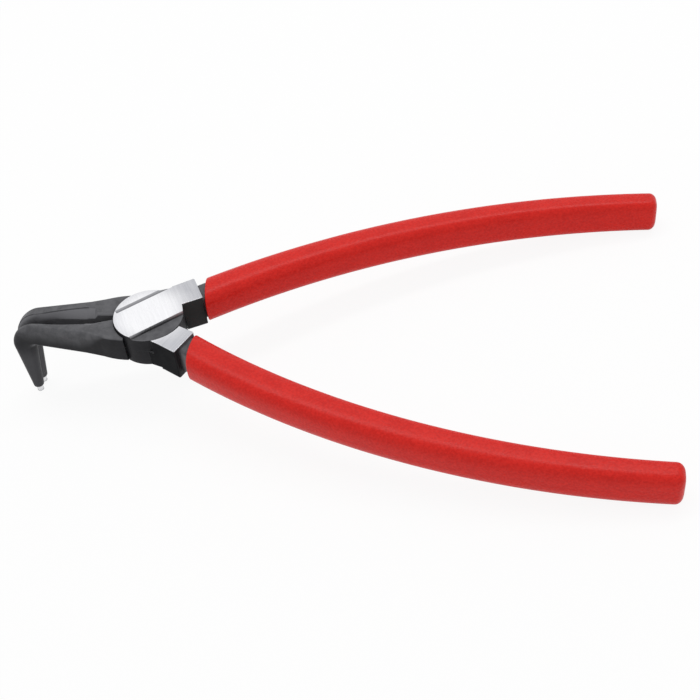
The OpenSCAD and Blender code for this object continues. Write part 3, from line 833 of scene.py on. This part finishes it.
def make_lever(name, node, body, side, materials):
    """Forged lever from its blank and its jaw, finished face by face."""
    if side > 0:
        solid = lever_blank(LOWER_SHOULDER_GAP, 360 * COIL_TURNS)
        bore = PIN_D / 2 + SET_GAP
        change(solid, "DIFFERENCE", round_bar([(bore, -HAIRLINE), (bore, MID_Z - PIN_COVER)]))
        change(solid, "UNION", jaw(FAR_RELIEF, False))
    else:
        over = Matrix.Rotation(math.pi, 4, "X")
        solid = moved(lever_blank(SHOULDER_GAP, 0), over)
        bore, head = PIN_D / 2 + PIN_GAP, PIN_HEAD_D / 2 + PIN_GAP
        lean = (PIN_HEAD_D - PIN_D) / 2 / PIN_HEAD_T
        levels = [(head + OVER * lean, -MID_Z - OVER), (bore, -MID_Z + PIN_HEAD_T), (bore, MID_Z)]
        change(solid, "DIFFERENCE", round_bar(levels))
        near_jaw = moved(jaw(NEAR_RELIEF, True), Matrix.Scale(-1, 4, (0, 1, 0)))
        change(solid, "UNION", change(near_jaw, "DIFFERENCE", moved(groove_cutter(HAIRLINE), over)))
    moved(solid, Matrix.Translation((0, 0, MID_Z)))
    bm = bmesh.new()
    bm.from_mesh(solid.data)
    bmesh.ops.remove_doubles(bm, verts=bm.verts, dist=MERGE_REACH)
    bmesh.ops.dissolve_degenerate(bm, edges=bm.edges, dist=MERGE_REACH)
    for face in bm.faces:
        face.material_index = lever_material(face.calc_center_median(), face.normal, side)
    bm.to_mesh(solid.data)
    bm.free()
    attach(finish_piece(solid, name, node, materials), body)


def finish_piece(solid, name, node, materials):
    """Brings a solid to metres, shades it, and lets it stand for a node of the part."""
    solid.name = name
    solid.data.name = name
    moved(solid, Matrix.Scale(MM, 4))
    for material in materials:
        solid.data.materials.append(material)
    solid.data.polygons.foreach_set("use_smooth", [True] * len(solid.data.polygons))
    solid.data.set_sharp_from_angle(angle=math.radians(SHARP_ANGLE))
    weigh = solid.modifiers.new("flat_faces", "WEIGHTED_NORMAL")
    weigh.keep_sharp = True
    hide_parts(node)
    return solid


def round_in(r, d):
    return 0 if d >= r else r - math.sqrt(r * r - (r - d) ** 2)


def grip_ring(s):
    """Section of the grip at a distance from its mouth, rounded in at both ends."""
    t = s / GRIP_LEN
    bow = 4 * GRIP_W_MID - 2 * (GRIP_W_MOUTH + GRIP_W_END)
    trim = round_in(GRIP_LIP_R, s) + round_in(GRIP_END_R, GRIP_LEN - s)
    half_w = (lerp(GRIP_W_MOUTH, GRIP_W_END, t) + bow * t * (1 - t)) / 2 - trim
    half_t = GRIP_T / 2 - trim
    square = lerp(GRIP_SQUARE_MOUTH, GRIP_SQUARE_END, t)
    turns = [polar(1, 360 * i / GRIP_SIDES) for i in range(GRIP_SIDES)]
    return [on_handle(s, half_w * bowed(x, square), half_t * bowed(z, square), True)
            for x, z in turns]


def make_sleeve(name, node, body, side, materials):
    """Plastic sleeve: its outside from the closed end to the mouth, then the tang's cavity."""
    quarter = [math.radians(90 * i / GRIP_END_STEPS) for i in range(GRIP_END_STEPS + 1)]
    stations = [GRIP_LEN - GRIP_END_R * (1 - math.cos(t)) for t in quarter[:-1]]
    stations += steps_between(GRIP_LEN - GRIP_END_R, GRIP_LIP_R, GRIP_STEPS)
    stations += [GRIP_LIP_R * (1 - math.sin(t)) for t in quarter]
    gap = 2 * GRIP_GAP
    section = rounded_square(TANG_W + gap, TANG_T + gap, TANG_EDGE_R + GRIP_GAP, GRIP_SIDES)
    deep = GRIP_LEN - GRIP_END_WALL
    cavity = [[on_handle(deep * i / CAVITY_STEPS, *p, True) for p in section]
              for i in range(CAVITY_STEPS + 1)]
    solid = loft([grip_ring(s) for s in stations] + cavity)
    if side < 0:
        moved(solid, Matrix.Scale(-1, 4, (0, 1, 0)))
    moved(solid, Matrix.Translation((0, 0, MID_Z)))
    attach(finish_piece(solid, name, node, materials), body)


def wire_ring(angle, along, z):
    """Section of the spring's wire at an angle round the pivot, some way along its tangent."""
    out, ahead = Vector(polar(1, angle)), Vector(polar(1, angle + 90))
    ring = []
    for i in range(WIRE_SIDES):
        side, rise = polar(WIRE_D / 2, 360 * i / WIRE_SIDES)
        p = (COIL_D / 2 + side) * out + along * ahead
        ring.append((p.x, p.y, z + rise))
    return ring


def make_spring(name, node, material):
    """Torsion spring with one leg in each lever."""
    half, turn = CHAMBER_DEPTH - SPRING_GAP - WIRE_D / 2, 360 * COIL_TURNS
    rings = [wire_ring(0, -SPRING_LEG, -half)]
    shares = [i / COIL_STEPS for i in range(COIL_STEPS + 1)]
    rings += [wire_ring(turn * share, 0, lerp(-half, half, share)) for share in shares]
    rings.append(wire_ring(turn, SPRING_LEG, half))
    solid = moved(loft(rings), Matrix.Translation((0, 0, MID_Z)))
    piece = finish_piece(solid, name, node, [material])
    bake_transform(piece)


def dress(node, material):
    """Puts a material on a CAD node and rounds its shading."""
    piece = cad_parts[node]
    piece.data.materials.clear()
    piece.data.materials.append(material)
    weld = piece.modifiers.new("weld", "WELD")
    weld.merge_threshold = MERGE_REACH * MM
    chosen = {"object": piece, "active_object": piece, "selected_editable_objects": [piece]}
    with bpy.context.temp_override(**chosen):
        bpy.ops.object.shade_auto_smooth(angle=math.radians(SHARP_ANGLE))


def make_camera():
    turn, tilt, roll = map(math.radians, (CAMERA_AZIMUTH, CAMERA_ELEVATION, CAMERA_ROLL))
    level = math.cos(tilt)
    forward = Vector((math.sin(turn) * level, math.cos(turn) * level, -math.sin(tilt)))
    right = Vector((math.cos(turn), -math.sin(turn), 0))
    up = right.cross(forward)
    across = right * math.cos(roll) + up * math.sin(roll)
    above = up * math.cos(roll) - right * math.sin(roll)
    lens = bpy.data.cameras.new("camera")
    lens.sensor_fit = "HORIZONTAL"
    lens.sensor_width = SENSOR_WIDTH
    lens.lens = SENSOR_WIDTH * CAMERA_FOCAL_PIXELS / IMAGE_PIXELS
    lens.clip_start = CLIP_START
    camera = bpy.data.objects.new("camera", lens)
    bpy.context.scene.collection.objects.link(camera)
    facing = Matrix((across, above, -forward)).transposed().to_4x4()
    camera.matrix_world = Matrix.Translation(Vector(CAMERA_PLACE) * MM) @ facing
    bpy.context.scene.camera = camera


def floor_line():
    """Height of the floor at the origin, and its rise along X: the tool rests on tips and grips."""
    tip_points, grip_points = ([v.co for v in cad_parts[node].data.vertices]
                               for node in ("far_tip", "far_grip"))
    tip = max(tip_points, key=lambda p: (-round(p.z, 5), p.x))
    rise = min((p.z - tip.z) / (p.x - tip.x) for p in grip_points)
    return tip.z - rise * tip.x, rise


def make_floor():
    height, rise = floor_line()
    bpy.ops.mesh.primitive_plane_add(size=FLOOR_SIZE, location=(0, 0, height),
                                     rotation=(0, -math.atan(rise), 0))
    floor = bpy.context.object
    floor.name = "floor"
    floor.data.materials.append(floor_white())


def add_softbox(name, place, aim, size, power):
    light = bpy.data.lights.new(name, "AREA")
    light.shape = "RECTANGLE"
    light.size, light.size_y = size
    light.energy = power
    lamp = bpy.data.objects.new(name, light)
    bpy.context.scene.collection.objects.link(lamp)
    lamp.location = place
    lamp.rotation_euler = (Vector(aim) - Vector(place)).to_track_quat("-Z", "Y").to_euler()


def make_light():
    world = bpy.data.worlds.new("studio")
    bpy.context.scene.world = world
    world.use_nodes = True
    tree = world.node_tree
    path = tree.nodes.new("ShaderNodeLightPath")
    seen = path.outputs["Is Camera Ray"]
    for name in ("Is Glossy Ray", "Is Transmission Ray"):
        both = tree.nodes.new("ShaderNodeMath")
        both.operation = "MAXIMUM"
        tree.links.new(seen, both.inputs[0])
        tree.links.new(path.outputs[name], both.inputs[1])
        seen = both.outputs[0]
    level = tree.nodes.new("ShaderNodeMapRange")
    level.inputs["To Min"].default_value = AMBIENT
    level.inputs["To Max"].default_value = 1.0
    tree.links.new(seen, level.inputs["Value"])
    background = tree.nodes["Background"]
    background.inputs["Color"].default_value = (1, 1, 1, 1)
    tree.links.new(level.outputs[0], background.inputs["Strength"])
    add_softbox("top_box", TOP_BOX_PLACE, TOP_BOX_AIM, TOP_BOX_SIZE, TOP_BOX_POWER)


make_camera()
make_floor()
make_light()
forged, machined = forged_steel(), machined_steel()
make_lever("far_forging", "far_lever", "far_half", 1,
           [forged, black_steel("black_steel_far", FAR_PAINTED_LIGHT),
            ground_steel("ground_steel_far", NECK_ANGLE), machined])
make_lever("near_forging", "near_lever", "near_half", -1,
           [forged, black_steel("black_steel_near", NEAR_PAINTED_LIGHT),
            ground_steel("ground_steel_near", -NECK_ANGLE), machined])
plastic = grip_plastic()
make_sleeve("far_sleeve", "far_grip", "far_half", 1, [plastic])
make_sleeve("near_sleeve", "near_grip", "near_half", -1, [plastic])
tip_material = bright_steel("tip_steel")
dress("far_tip", tip_material)
dress("near_tip", tip_material)
dress("pivot_pin", ground_steel("pin_steel", -NECK_ANGLE))
make_spring("torsion_spring", "return_spring", bright_steel("spring_steel", SPRING_DULL))
bpy.context.scene.view_settings.view_transform = "Standard"
